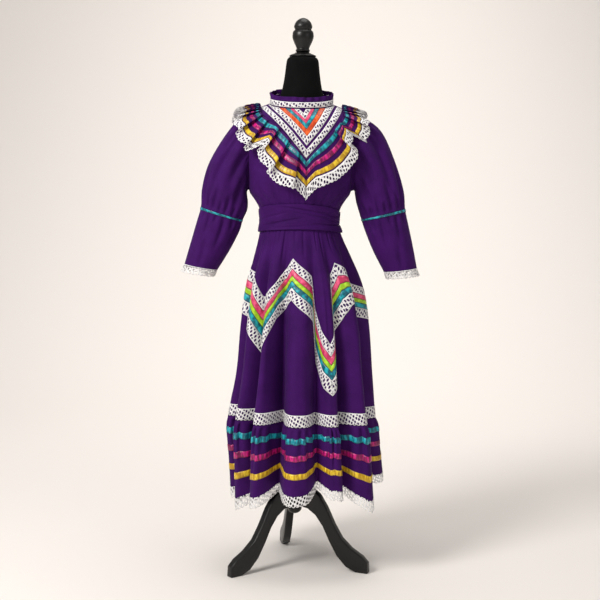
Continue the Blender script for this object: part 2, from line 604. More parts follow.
def flounce_base(place, share):
    angle, _, _, hem = fold_place(place)
    flare = columns_of(smooth_read(FLOUNCE, share))[0]
    over = np.clip(share - 1, 0, None) * 0.02
    leftward = np.clip(-np.sin(np.radians(angle)), 0, None)
    draw = LEFT_DRAW * share * leftward**2
    seam = np.full(place.shape, FLOUNCE_SEAM)
    return skirt_ring(place, seam, flare + over - draw, blend(FLOUNCE_SEAM, hem, share))


def on_flounce(place, share, lift=0.0):
    """A point of the gathered flounce's outer face, or above it."""
    gathers = gather_depth(place, share)
    puff = FLOUNCE_PUFF * smooth_step(share / 0.1)
    point = lifted(flounce_base, place, share, lift + puff - gathers, 0.01, -0.01)
    point[..., 2] += gathers * GATHER_SAG
    return point


# Ruffle of the yoke

def ruffle_line(angle):
    turned = (angle + 180) % 360 - 180
    height, depth = columns_of(smooth_read(RUFFLE_LINE, np.abs(turned)))
    return turned, height, depth


def pleat_height(angle):
    """How high the ruffle's folds stand, from 0 to 1, and how far across its fold a place lies."""
    turned = (angle + 180) % 360 - 180
    phase = np.abs(turned) * RUFFLE_FOLDS / 360
    index = np.floor(phase)
    across = 1 - (phase - index)
    rising = 0.5 - 0.5 * np.cos(np.pi * across / PLEAT_PEAK)
    falling = 0.5 + 0.5 * np.cos(np.pi * (across - PLEAT_PEAK) / (1 - PLEAT_PEAK))
    fold = np.where(turned >= 0, index, RUFFLE_FOLDS - 1 - index).astype(int) % RUFFLE_FOLDS
    fullness = np.array(FOLD_FULLNESS)[fold]
    return np.where(across < PLEAT_PEAK, rising, falling) * fullness, across, np.sign(turned)


def ruffle_directions(angle):
    """At the ruffle's sewing line: the bodice's normal, the way along the line and that to the free edge."""
    turned, height, _ = ruffle_line(angle)
    rightward = bodice_base(turned + 1, height) - bodice_base(turned - 1, height)
    upward = bodice_base(turned, height + 0.002) - bodice_base(turned, height - 0.002)
    normal = np.cross(rightward, upward)
    normal /= np.linalg.norm(normal, axis=-1, keepdims=True)
    spread = 360 / RUFFLE_FOLDS
    on_right = turned >= 0
    ahead = ruffle_line(np.where(on_right, turned + spread, np.minimum(turned + spread, 0)))
    behind = ruffle_line(np.where(on_right, np.maximum(turned - spread, 0), turned - spread))
    line = bodice_base(ahead[0], ahead[1]) - bodice_base(behind[0], behind[1])
    line /= np.linalg.norm(line, axis=-1, keepdims=True)
    square = np.cross(line, normal)
    square /= np.linalg.norm(square, axis=-1, keepdims=True)
    mitre = (square[..., 0] / line[..., 0]) * smooth_step(1 - np.abs(turned) / MITRE_END)
    outward = square - line * mitre[..., None]
    outward /= np.linalg.norm(outward, axis=-1, keepdims=True)
    return normal, line, outward


def on_ruffle(angle, share, lift=0.0):
    """A point of the ruffle's outer face: share 0 is its sewing line and 1 its free edge."""
    turned, height, depth = ruffle_line(angle)
    normal, line, outward = ruffle_directions(angle)
    fold, across, side = pleat_height(angle)
    wave = columns_of(smooth_read(RUFFLE_WAVE, share))[0] * fold
    slip = PLEAT_SLIP * np.sin(2 * np.pi * across) * share * np.clip(fold, 0, 1)
    sway = np.interp(turned % 360, RUFFLE_SWAY[:, 0], RUFFLE_SWAY[:, 1])
    reach = share * depth + np.clip(share / RUFFLE_LACE_SHARE, 0, 1) * sway + slip
    return (
        bodice_base(turned, height)
        + outward * reach[..., None]
        + normal * (RUFFLE_LIFT + wave + lift)[..., None]
        - line * (side * wave * PLEAT_OVERLAP)[..., None]
    )


# Sleeves

def armhole_ring(side, around):
    """The armhole's edge, followed on the bodice where it meets the armhole's plane."""
    points = []
    for angle in around:
        y, z = side * math.sin(angle), math.cos(angle)
        near, far = 0.0, 0.14
        for _ in range(28):
            reach = (near + far) / 2
            height = ARMHOLE_MIDDLE + z * reach
            tilt = smooth_read(BODICE, np.array([height]))[0, 4]
            row = smooth_read(BODICE, np.array([height - tilt * y * reach]))[0]
            share = min(abs(y * reach) / row[1], 1)
            if row[0] * (1 - share ** row[2]) ** (1 / row[2]) > ARMHOLE_X:
                near = reach
            else:
                far = reach
        points.append((side * (ARMHOLE_X + EDGE_GAP), y * near, ARMHOLE_MIDDLE + z * near))
    return np.array(points)


def sleeve_rings(side_name, around):
    side = -1 if side_name == "left" else 1
    rings = [armhole_ring(side, around)]
    for out_x, out_z, in_x, in_z, half in SLEEVES[side_name]:
        middle = np.array([(out_x + in_x) / 2, 0, (out_z + in_z) / 2])
        out = np.array([out_x, 0, out_z]) - middle
        ring = middle + np.cos(around)[:, None] * out
        ring[:, 1] += side * half * np.sin(around)
        rings.append(ring)
    return np.array(rings)


def sleeve_surface(side_name, columns):
    """The smooth sleeve through its rings, as a function of the ring number."""
    around = np.linspace(0, 2 * np.pi, columns, endpoint=False)
    rings = sleeve_rings(side_name, around)
    keys = np.arange(len(rings), dtype=float)[:, None]
    table = np.hstack([keys, rings.reshape(len(rings), -1)])
    return lambda ring: smooth_read(table, ring).reshape(len(ring), columns, 3)


def grid_normals(grid, closed):
    """Directions that face out of a grid whose rows go up and whose columns go round."""
    if closed:
        across = np.roll(grid, -1, axis=1) - np.roll(grid, 1, axis=1)
    else:
        across = np.gradient(grid, axis=1)
    normal = np.cross(across, np.gradient(grid, axis=0))
    return normal / np.linalg.norm(normal, axis=-1, keepdims=True)


def sleeve_grid(side_name, rings, columns=120, lift=0.0):
    """Rows of a creased sleeve at the given ring numbers, from the lowest up."""
    grid = sleeve_surface(side_name, columns)(rings)
    normals = grid_normals(grid, True)
    degrees = np.linspace(0, 360, columns, endpoint=False)
    from_front = degrees if side_name == "left" else 360 - degrees
    across, along = np.meshgrid(from_front, rings)
    depth = crease_depth(across, along, SLEEVE_CREASES, METRES_PER_SLEEVE_DEGREE, METRES_PER_SLEEVE_RING)
    depth *= SLEEVE_CREASE_DEPTH
    head = np.clip(1 - along / 1.1, 0, 1) ** 1.5
    waves = 1 + np.cos(np.radians(across) * ARMHOLE_GATHERS)
    depth += ARMHOLE_GATHER_DEPTH * head * waves * smooth_step(along / 0.15)
    at_seam = 1 - 0.85 * np.exp(-(((along - SEAM_RING) / 0.12) ** 2))
    return grid + normals * (lift - depth * at_seam)[..., None]


# Materials

# Lace: its eyelets stand in slanted rows, with flowers on a fine net between them
EYELET_STEP = 0.0085  # along a row
EYELET_ROW = 0.0115  # from row to row
EYELET_SIZE = 0.42  # reach of an eyelet against its step
LACE_SLANT = math.radians(24)
NET_CELL = 0.0034
FLOWER_SIZE = 0.42  # reach of a flower against its step
NET_OPENNESS = 0.38  # how much shows through the fine net
FLOWER_STEP = 0.0125
SCALLOP_STEP = 0.012
LACE_BORDER = 0.0022
THREAD_PITCH = 0.0007  # of the cotton's weave
SATIN_EDGE = 0.0011  # breadth of a ribbon's woven edge
PLAIN_GLINT = 70.0  # glints to a metre on a ribbon that isn't gathered


def add_node(material, kind, inputs=None, **settings):
    node = material.node_tree.nodes.new(kind)
    for name, value in settings.items():
        setattr(node, name, value)
    for name, value in (inputs or {}).items():
        if isinstance(value, bpy.types.NodeSocket):
            material.node_tree.links.new(value, node.inputs[name])
        else:
            node.inputs[name].default_value = value
    return node


def maths(material, operation, first, second=0.0, third=0.0):
    inputs = {0: first, 1: second, 2: third}
    return add_node(material, "ShaderNodeMath", inputs, operation=operation).outputs[0]


def cloth_uv(material):
    """Distances along and across a piece of cloth, in metres."""
    uv = add_node(material, "ShaderNodeUVMap", uv_map="cloth").outputs["UV"]
    split = add_node(material, "ShaderNodeSeparateXYZ", {"Vector": uv})
    return uv, split.outputs["X"], split.outputs["Y"]


def noise(material, place, scale, detail=2.0, roughness=0.5):
    inputs = {"Vector": place, "Scale": scale, "Detail": detail, "Roughness": roughness}
    return add_node(material, "ShaderNodeTexNoise", inputs).outputs["Fac"]


def threads(material, place, direction, pitch):
    """Round threads side by side, from 0 between them to 1 on top of them."""
    inputs = {"Vector": place, "Scale": math.pi / (10 * pitch)}
    settings = {"wave_type": "BANDS", "bands_direction": direction}
    return add_node(material, "ShaderNodeTexWave", inputs, **settings).outputs["Fac"]


def between(material, share, dark, light):
    """A colour between two others."""
    ramp = add_node(material, "ShaderNodeValToRGB", {"Fac": share})
    ramp.color_ramp.elements[0].position = 0.3
    ramp.color_ramp.elements[0].color = (*dark, 1)
    ramp.color_ramp.elements[1].position = 0.7
    ramp.color_ramp.elements[1].color = (*light, 1)
    return ramp.outputs["Color"]


def bump(material, height, distance, strength=1.0, normal=None):
    inputs = {"Height": height, "Distance": distance, "Strength": strength}
    if normal is not None:
        inputs["Normal"] = normal
    return add_node(material, "ShaderNodeBump", inputs).outputs["Normal"]


def start_material(name, **numbers):
    """A new material whose shader has these even numbers, and the shader."""
    material = bpy.data.materials.new(name)
    material.use_nodes = True
    shader = material.node_tree.nodes["Principled BSDF"]
    for socket, value in numbers.items():
        shader.inputs[socket.replace("_", " ")].default_value = value
    return material, shader


def connect(material, source, shader, socket):
    material.node_tree.links.new(source, shader.inputs[socket])


def cotton_material(name, dark, light):
    material, shader = start_material(name, Sheen_Weight=0.02, Sheen_Roughness=0.45, Specular_IOR_Level=0.1)
    uv, _, _ = cloth_uv(material)
    place = add_node(material, "ShaderNodeTexCoord").outputs["Object"]
    patches = noise(material, place, 14.0, 4.0, 0.6)
    connect(material, between(material, patches, dark, light), shader, "Base Color")
    warp = threads(material, uv, "X", THREAD_PITCH)
    weft = threads(material, uv, "Y", THREAD_PITCH)
    weave = maths(material, "MULTIPLY", warp, weft)
    slubs = noise(material, uv, 260.0, 3.0)
    rumple = noise(material, place, 55.0, 3.0, 0.55)
    fine = bump(material, maths(material, "ADD", weave, slubs), 0.00012, 0.5)
    connect(material, bump(material, rumple, 0.0011, 0.45, fine), shader, "Normal")
    connect(material, maths(material, "MULTIPLY_ADD", slubs, 0.14, 0.68), shader, "Roughness")
    return material


def satin_material(name, dark, light, width, glint):
    """Satin ribbon with a woven edge on both sides; where it is gathered, glints lie close along it."""
    material, shader = start_material(
        name, Sheen_Weight=0.05, Specular_IOR_Level=0.45, Anisotropic=0.35, Coat_Weight=0.04
    )
    uv, _, across = cloth_uv(material)
    inputs = {"Vector": uv, "Scale": (28.0, 900.0, 1.0)}
    stretched = add_node(material, "ShaderNodeMapping", inputs).outputs[0]
    floats = noise(material, stretched, 1.0, 2.0)
    inputs = {"Vector": uv, "Scale": (glint, PLAIN_GLINT**2 / glint, 1.0)}
    gathers = add_node(material, "ShaderNodeMapping", inputs).outputs[0]
    folds = noise(material, gathers, 1.0, 2.0)
    shade = maths(material, "MULTIPLY_ADD", folds, 2.2, maths(material, "MULTIPLY_ADD", floats, 0.4, -0.85))
    near_low = maths(material, "LESS_THAN", across, SATIN_EDGE)
    near_high = maths(material, "GREATER_THAN", across, width - SATIN_EDGE)
    edge = maths(material, "ADD", near_low, near_high)
    colour = between(material, maths(material, "MULTIPLY_ADD", edge, -0.25, shade), dark, light)
    connect(material, colour, shader, "Base Color")
    ribs = threads(material, uv, "X", 0.0009)
    height = maths(material, "MULTIPLY_ADD", edge, ribs, maths(material, "MULTIPLY", floats, 0.5))
    fine = bump(material, height, 0.00015, 0.5)
    connect(material, bump(material, folds, 0.0022, 0.6, fine), shader, "Normal")
    connect(material, maths(material, "MULTIPLY_ADD", edge, 0.2, 0.34), shader, "Roughness")
    return material


def lace_material(name, width, scallop=0.0, header=0.0):
    """White lace: oval eyelets and flowers on a fine net, firm edges, and scallops along the lower edge."""
    material, shader = start_material(name, Sheen_Weight=0.05, Specular_IOR_Level=0.2, Roughness=0.8)
    uv, along, across = cloth_uv(material)
    slanted = add_node(
        material, "ShaderNodeMapping",
        {"Vector": uv, "Rotation": (0, 0, LACE_SLANT), "Scale": (1 / EYELET_STEP, 1 / EYELET_ROW, 1.0)},
    ).outputs[0]
    from_eyelet = add_node(
        material, "ShaderNodeTexVoronoi", {"Vector": slanted, "Scale": 1.0, "Randomness": 0.18}, feature="F1"
    ).outputs["Distance"]
    ragged = maths(material, "MULTIPLY_ADD", noise(material, uv, 420.0, 1.0), 0.12, from_eyelet)
    eyelet = maths(material, "LESS_THAN", ragged, EYELET_SIZE)
    cells = add_node(
        material, "ShaderNodeTexVoronoi", {"Vector": uv, "Scale": 1 / NET_CELL, "Randomness": 0.7},
        feature="DISTANCE_TO_EDGE",
    ).outputs["Distance"]
    flowers = add_node(
        material, "ShaderNodeTexVoronoi", {"Vector": uv, "Scale": 1 / FLOWER_STEP, "Randomness": 0.5},
        feature="F1",
    ).outputs["Distance"]
    in_flower = maths(material, "LESS_THAN", flowers, FLOWER_SIZE)
    open_net = maths(material, "GREATER_THAN", cells, 0.2)
    net = maths(material, "MULTIPLY", open_net, maths(material, "SUBTRACT", NET_OPENNESS, in_flower))
    hole = maths(material, "MAXIMUM", eyelet, net)
    turn = maths(material, "MULTIPLY", along, math.pi / SCALLOP_STEP)
    wave = maths(material, "ABSOLUTE", maths(material, "SINE", turn))
    edge = maths(material, "MULTIPLY_ADD", wave, -scallop, scallop)
    above_edge = maths(material, "SUBTRACT", across, edge)
    low_border = maths(material, "LESS_THAN", above_edge, LACE_BORDER)
    high_border = maths(material, "GREATER_THAN", across, width - LACE_BORDER)
    border = maths(material, "MAXIMUM", low_border, high_border)
    hole = maths(material, "MULTIPLY", hole, maths(material, "SUBTRACT", 1.0, border))
    if header:
        over = maths(material, "GREATER_THAN", across, width - header)
        under = maths(material, "LESS_THAN", across, width - LACE_BORDER)
        hole = maths(material, "MAXIMUM", hole, maths(material, "MULTIPLY", over, under))
    solid = maths(material, "SUBTRACT", 1.0, hole)
    inside = maths(material, "GREATER_THAN", above_edge, 0.0)
    connect(material, maths(material, "MULTIPLY", solid, inside), shader, "Alpha")
    tint = noise(material, uv, 120.0, 2.0)
    connect(material, between(material, tint, (0.70, 0.69, 0.70), (0.88, 0.87, 0.86)), shader, "Base Color")
    raised = maths(material, "MULTIPLY_ADD", in_flower, 0.7, maths(material, "MULTIPLY", cells, -1.2))
    connect(material, bump(material, raised, 0.0006, 0.7), shader, "Normal")
    return material


def jersey_material():
    material, shader = start_material("black_jersey", Specular_IOR_Level=0.12, Roughness=0.9)
    place = add_node(material, "ShaderNodeTexCoord").outputs["Object"]
    tone = noise(material, place, 30.0, 3.0)
    colour = between(material, tone, (0.0012, 0.0012, 0.0013), (0.003, 0.003, 0.0032))
    connect(material, colour, shader, "Base Color")
    ribs = threads(material, place, "X", 0.0011)
    courses = threads(material, place, "Z", 0.0009)
    knit = maths(material, "MULTIPLY", ribs, courses)
    connect(material, bump(material, knit, 0.00025, 0.5), shader, "Normal")
    return material


def lacquer_material():
    """Black lacquered wood, a little worn and with its grain just showing."""
    material, shader = start_material(
        "black_wood", Specular_IOR_Level=0.35, Coat_Weight=0.12, Coat_Roughness=0.25
    )
    place = add_node(material, "ShaderNodeTexCoord").outputs["Object"]
    inputs = {"Vector": place, "Scale": (180.0, 180.0, 18.0)}
    stretched = add_node(material, "ShaderNodeMapping", inputs).outputs[0]
    grain = noise(material, stretched, 1.0, 4.0, 0.6)
    dust = noise(material, place, 24.0, 3.0)
    colour = between(material, dust, (0.0016, 0.0016, 0.0016), (0.0045, 0.004, 0.004))
    connect(material, colour, shader, "Base Color")
    connect(material, bump(material, grain, 0.0002, 0.35), shader, "Normal")
    connect(material, maths(material, "MULTIPLY_ADD", dust, 0.22, 0.28), shader, "Roughness")
    return material


purple_cotton = cotton_material("purple_cotton", (0.034, 0.0036, 0.076), (0.050, 0.0056, 0.110))
black_jersey = jersey_material()
black_wood = lacquer_material()
SATINS = {
    "turquoise": ((0.002, 0.10, 0.15), (0.012, 0.42, 0.50)),
    "magenta": ((0.16, 0.001, 0.060), (0.64, 0.006, 0.21)),
    "yellow": ((0.44, 0.24, 0.004), (0.86, 0.60, 0.03)),
    "orange": ((0.50, 0.045, 0.004), (0.82, 0.13, 0.015)),
    "pink": ((0.55, 0.030, 0.11), (0.85, 0.11, 0.24)),
    "lime": ((0.28, 0.50, 0.008), (0.48, 0.78, 0.04)),
}


def satin(colour, width, glint=PLAIN_GLINT):
    """The satin for a ribbon of one colour and width, with its glints as close as they are stated."""
    dark, light = SATINS[colour]
    name = f"{colour}_satin_{round(width * 1000)}_{round(glint)}"
    return satin_material(name, dark, light, width, glint)


# Making the cloth

def row_lean(grid):
    """How much the columns of a strip lean along its rows, from -1 to 1."""
    across = np.gradient(grid[len(grid) // 2], axis=0)
    upward = grid[-1] - grid[0]
    across /= np.linalg.norm(across, axis=-1, keepdims=True)
    upward /= np.linalg.norm(upward, axis=-1, keepdims=True)
    return (across * upward).sum(axis=-1)


def cloth_piece(node, grid, thickness, material, closed=False, strip_width=None):
    """The sheet of cloth that stands for a node, through a grid of points whose rows go up.

    A slanted strip is given its own width, so that its pattern runs along it.
    """
    rows, columns = grid.shape[:2]
    name = f"{node}_cloth"
    mesh = bpy.data.meshes.new(name)
    quads = []
    spans = columns if closed else columns - 1
    for r in range(rows - 1):
        for c in range(spans):
            after = (c + 1) % columns
            low, high = r * columns, (r + 1) * columns
            quads.append((low + c, low + after, high + after, high + c))
    mesh.from_pydata([tuple(point) for point in grid.reshape(-1, 3)], [], quads)
    around = np.concatenate([grid, grid[:, :1]], axis=1) if closed else grid
    along = np.linalg.norm(np.diff(around, axis=1), axis=-1)
    along = np.concatenate([[0.0], np.cumsum(along[rows // 2])])
    up = np.linalg.norm(np.diff(grid, axis=0), axis=-1).mean(axis=1)
    up = np.concatenate([[0.0], np.cumsum(up)])
    lean = row_lean(around) if strip_width else np.zeros(len(along))
    slide = np.outer(up - up[rows // 2], lean) + along
    if strip_width:
        up = up * strip_width / up[-1]
    uv = mesh.uv_layers.new(name="cloth")
    corners = []
    for r in range(rows - 1):
        for c in range(spans):
            corners += [slide[r, c], up[r], slide[r, c + 1], up[r]]
            corners += [slide[r + 1, c + 1], up[r + 1], slide[r + 1, c], up[r + 1]]
    uv.data.foreach_set("uv", corners)
    mesh.polygons.foreach_set("use_smooth", [True] * len(mesh.polygons))
    mesh.materials.append(material)
    mesh.update()
    piece = bpy.data.objects.new(name, mesh)
    bpy.context.scene.collection.objects.link(piece)
    if thickness:
        thicken(piece, thickness)
    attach(piece, "root")
    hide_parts(node)
    return piece


def thicken(piece, thickness):
    """Gives a sheet its thickness on the side that faces in."""
    wall = piece.modifiers.new("thickness", "SOLIDIFY")
    wall.thickness = thickness
    wall.offset = -1
    apply_modifiers(piece)


def cotton_piece(node, grid, closed=False, thickness=COTTON):
    return cloth_piece(node, grid, thickness, purple_cotton, closed)


def apply_modifiers(piece):
    bpy.ops.object.select_all(action="DESELECT")
    bpy.context.view_layer.objects.active = piece
    piece.select_set(True)
    for modifier in list(piece.modifiers):
        bpy.ops.object.modifier_apply(modifier=modifier.name)
    piece.select_set(False)


# Cloth pieces of the dress

def bodice_half(name, first, last):
    angles, keys = np.meshgrid(np.linspace(first, last, 110), np.linspace(WAIST_SEAM, BODICE_TOP, 96))
    grid = on_bodice(angles, keys)
    piece = cotton_piece(name, grid, thickness=0)
    cut_armholes(piece)
    thicken(piece, COTTON)
    return piece


def cut_armholes(piece):
    """Leaves out what lies beyond each armhole's plane."""
    bpy.context.view_layer.objects.active = piece
    bpy.ops.object.mode_set(mode="EDIT")
    for side in (-1, 1):
        bpy.ops.mesh.select_all(action="SELECT")
        bpy.ops.mesh.bisect(
            plane_co=(side * ARMHOLE_X, 0, 0), plane_no=(side, 0, 0), clear_outer=True, clear_inner=False
        )
    bpy.ops.object.mode_set(mode="OBJECT")


def bodice():
    seam = math.degrees(SEAM_GAP / 0.15)
    front = bodice_half("bodice_front", -90 + seam, 90 - seam)
    back = bodice_half("bodice_back", 90 + seam, 270 - seam)


def strip_length(grid):
    """Length of a strip along its middle row."""
    middle = grid[len(grid) // 2]
    return round(float(np.linalg.norm(np.diff(middle, axis=0), axis=-1).sum()), 3)


def yoke():
    """V strips on the bodice's front, whose arms end at the neckline."""
    looks = {
        "yoke_lace_top": ("lace", None), "yoke_ribbon_pink": ("satin", "pink"),
        "yoke_ribbon_turquoise": ("satin", "turquoise"), "yoke_ribbon_orange": ("satin", "orange"),
        "yoke_lace_inner": ("lace", None), "yoke_lace_outer": ("lace", None),
    }
    across = np.cos(math.atan(YOKE_SLOPE))
    for name, (upper, lower) in YOKE_STRIPS.items():
        def line_from(tip):
            def height(angle, points):
                middle = ring_point(BODICE, np.zeros(angle.shape), points[..., 2])[..., 0]
                return tip + YOKE_SLOPE * np.abs(points[..., 0] - middle)
            return height
        fine = np.linspace(-88, 88, 353)
        low_keys = bodice_key(fine, line_from(lower + SEAM_GAP))
        reaches = fine[low_keys < BODICE_TOP - YOKE_END]
        leftward, rightward = np.linspace(reaches[0], 0, 70), np.linspace(0, reaches[-1], 70)
        columns = np.concatenate([leftward, rightward[1:]])
        low_keys = bodice_key(columns, line_from(lower + SEAM_GAP))
        high_keys = bodice_key(columns, line_from(upper - SEAM_GAP))
        share = np.linspace(0, 1, 5)[:, None]
        keys = blend(low_keys, high_keys, share)
        angles = np.broadcast_to(columns, keys.shape)
        width = (upper - lower) * across
        kind, colour = looks[name]
        if kind == "lace":
            material = lace_material(f"white_lace_{name}", width)
        else:
            material = satin(colour, width)
        grid = on_bodice(angles, keys, TRIM_LIFT)
        piece = cloth_piece(name, grid, RIBBON, material, strip_width=width)
        length = strip_length(on_bodice(angles, keys))


def ruffle():
    """A closed loop of soft knife pleats over both shoulders, with three ribbons and lace at its edge."""
    columns = np.linspace(0, 360, RUFFLE_FOLDS * 18, endpoint=False)

    def layer(name, upper, lower, rows, lift, thickness, material):
        angles, shares = np.meshgrid(columns, np.linspace(lower, upper, rows))
        return cloth_piece(name, on_ruffle(angles, shares, lift), thickness, material, closed=True)

    cloth = layer("ruffle", 0.0, RUFFLE_LACE_SHARE, 18, 0.0, COTTON, purple_cotton)
    material = lace_material("white_lace_ruffle", 0.024, scallop=0.003)
    lace = layer("ruffle_lace", RUFFLE_LACE_SHARE - 0.03, 1.0, 8, 0.0006, LACE, material)
    for name, (upper, lower) in RUFFLE_RIBBONS.items():
        colour = name.rsplit("_", 1)[1]
        material = satin(colour, 0.011, 110.0)
        piece = layer(name, upper, lower, 4, TRIM_LIFT, RIBBON, material)


def sleeves():
    for side_name in SLEEVES:
        upper = sleeve_grid(side_name, np.linspace(SEAM_RING, 0, 72))
        name = f"sleeve_{side_name}_upper"
        piece = cotton_piece(name, upper, closed=True)
        lower = sleeve_grid(side_name, np.linspace(8, SEAM_RING + 0.01, 44))
        name = f"sleeve_{side_name}_lower"
        piece = cotton_piece(name, lower, closed=True)
        ring_height = SLEEVE_RIBBON_HEIGHT / METRES_PER_SLEEVE_RING
        shares = np.linspace(SEAM_RING + ring_height, SEAM_RING, 4)
        ribbon = sleeve_grid(side_name, shares, lift=TRIM_LIFT + 0.0006)
        name = f"sleeve_{side_name}_ribbon"
        material = satin("turquoise", SLEEVE_RIBBON_HEIGHT)
        piece = cloth_piece(name, ribbon, RIBBON, material, closed=True)
        cuff_lace(side_name, lower[:2])


def cuff_lace(side_name, last_rows):
    """Lace that goes on from the sleeve's edge, opening a little."""
    down = last_rows[0] - last_rows[1]
    down /= np.linalg.norm(down, axis=-1, keepdims=True)
    outward = last_rows[0] - last_rows[0].mean(axis=0)
    outward /= np.linalg.norm(outward, axis=-1, keepdims=True)
    wave = waves(np.linspace(0, 2 * np.pi, len(down), endpoint=False), CUFF_LACE_WAVES)
    rows = []
    for share in np.linspace(1, 0, 6):
        reach = blend(-CUFF_LACE_TUCK, CUFF_LACE_HEIGHT, share)
        rows.append(last_rows[0] + down * reach + outward * (0.0008 + (0.002 + wave) * share)[:, None])
    name = f"cuff_lace_{side_name}"
    width = CUFF_LACE_HEIGHT + CUFF_LACE_TUCK
    material = lace_material(f"white_{name}", width, scallop=0.003, header=0.005)
    piece = cloth_piece(name, np.array(rows), LACE, material, closed=True)


def collar():
    """A standing band with lace on it and a frill on top."""
    angles = np.linspace(0, 360, 192, endpoint=False)
    neckline = ring_point(BODICE, angles, np.full(angles.shape, BODICE_TOP))
    outward = neckline * (1, 1, 0)
    outward /= np.linalg.norm(outward, axis=-1, keepdims=True)

    def ring(height, grow):
        point = neckline + outward * np.broadcast_to(grow, angles.shape)[:, None]
        point[:, 2] += height
        return point

    ease = waves(np.radians(angles), BAND_WAVES)
    heights = np.linspace(EDGE_GAP, BAND_TOP, 8)
    band = np.array([ring(height, ease * height / BAND_TOP) for height in heights])
    piece = cotton_piece("collar_band", band, closed=True)
    low, high = COLLAR_LACE
    heights = np.linspace(low, high, 5)
    rows = [ring(height, ease * height / BAND_TOP + TRIM_LIFT + LACE) for height in heights]
    material = lace_material("white_lace_collar", high - low)
    piece = cloth_piece("collar_lace", np.array(rows), LACE, material, closed=True)

    turned = np.radians(angles)
    uneven = 1 + waves(turned, FRILL_UNEVENNESS)
    wave = np.sin(turned * FRILL_WAVES + 0.7 * np.sin(turned * 4)) * uneven * FRILL_WAVE
    flop = waves(turned, FRILL_FLOP)
    rows = []
    for share in np.linspace(0, 1, 12):
        dip = 0.0016 * share * np.abs(np.sin(turned * 3 + 0.8))
        height = blend(BAND_TOP + EDGE_GAP, FRILL_TOP, share) - dip
        point = ring(0.0, ease + wave * share ** 0.8 + flop * share)
        point[:, 2] += height
        rows.append(point)
    piece = cotton_piece("collar_frill", np.array(rows), closed=True, thickness=FRILL_CLOTH)


def sash():
    """A folded sash over the waist seam."""
    angles = np.linspace(0, 360, 240, endpoint=False)
    shares = np.linspace(0, 1, 44)
    columns, rows = np.meshgrid(angles, shares)
    front = np.cos(np.radians(columns))
    low = SASH_LOW + SASH_LOW_RISE * front
    top = SASH_TOP + SASH_TOP_RISE * front - SASH_SLANT * np.sin(np.radians(columns))
    height = blend(low, top, rows)

    def waist(angle, z):
        over = smooth_step((z - 1.028) / 0.03)[..., None]
        above = bodice_base(angle, np.maximum(z, WAIST_SEAM))
        left, right, fore, aft, _ = columns_of(smooth_read(SKIRT, z))
        turned = np.radians(angle + 2)
        side, forward = np.sin(turned), np.cos(turned)
        aside = np.where(side > 0, right, left)
        ahead = np.where(forward > 0, fore, aft)
        radius = 1 / np.hypot(side / aside, forward / ahead)
        below = np.stack([radius * side, -radius * forward, z], axis=-1)
        point = blend(below, above, over)
        point[..., 2] = z
        return point

    depth = crease_depth(columns, height, SASH_CREASES, METRES_PER_DEGREE)
    edge = 0.0012 * (np.exp(-((rows - 0.02) / 0.03) ** 2) + np.exp(-((rows - 0.98) / 0.03) ** 2))
    lift = blend(0.0056, 0.0034, smooth_step(rows * 1.4)) + SASH_BREADTH * 0.5 - depth - edge
    grid = lifted(waist, columns, height, lift, 1.5)
    piece = cotton_piece("sash", grid, closed=True, thickness=SASH_CLOTH)


def skirt():
    halves = {"skirt_front": (LEFT_SEAM, RIGHT_SEAM), "skirt_back": (RIGHT_SEAM, LEFT_SEAM + len(FOLDS))}
    for name, (first, last) in halves.items():
        gap = SEAM_GAP / METRES_PER_FOLD
        count = round((last - first) * 30)
        rows = np.linspace(FLOUNCE_SEAM + EDGE_GAP, WAIST_SEAM - EDGE_GAP, 64)
        places, heights = np.meshgrid(np.linspace(first + gap, last - gap, count), rows)
        piece = cotton_piece(name, on_skirt(places, heights))


def zigzag():
    """Five strips side by side, which follow one line round the skirt."""
    places = np.linspace(0, len(FOLDS), len(FOLDS) * 44, endpoint=False)
    ring = skirt_base(np.append(places, len(FOLDS)), np.full(len(places) + 1, ZIGZAG_RING))
    length = np.concatenate([[0.0], np.cumsum(np.linalg.norm(np.diff(ring, axis=0), axis=-1))])
    whole = length[-1]
    known = np.append(places, len(FOLDS))
    corners = np.interp(ZIGZAG[:-1, 0] % len(FOLDS), known, length)
    order = np.argsort(corners)
    corners, rows = corners[order], ZIGZAG[:-1, 1:][order]
    corners = np.concatenate([[corners[-1] - whole], corners, [corners[0] + whole]])
    rows = np.concatenate([rows[-1:], rows, rows[:1]])
    line = np.interp(length[:-1], corners, rows[:, 0])
    tall = np.interp(length[:-1], corners, rows[:, 1])
    drop = 0.0
    for name, height in ZIGZAG_STRIPS.items():
        shares = np.linspace(drop + height - STRIP_GAP, drop + STRIP_GAP, 4 if "ribbon" in name else 6)
        columns, drops = np.meshgrid(places, shares)
        grid = on_skirt(columns, line - drops * tall, TRIM_LIFT)
        colour = name.rsplit("_", 1)[1]
        width = height * ZIGZAG_SLANT
        if "ribbon" in name:
            material, slot = satin(colour, width), f"{colour}_satin"
        else:
            material, slot = lace_material(f"white_lace_{name}", width), "white_lace"
        piece = cloth_piece(name, grid, RIBBON, material, closed=True, strip_width=width)
        drop += height


def lace_band():
    places = np.linspace(0, len(FOLDS), len(FOLDS) * 30, endpoint=False)
    heights = np.linspace(FLOUNCE_SEAM + 0.001, FLOUNCE_SEAM + LACE_BAND_HEIGHT, 7)
    columns, rows = np.meshgrid(places, heights)
    material = lace_material("white_lace_band", LACE_BAND_HEIGHT - 0.001, scallop=0.003)
    grid = on_skirt(columns, rows, TRIM_LIFT)
    piece = cloth_piece("skirt_lace_band", grid, LACE, material, closed=True)


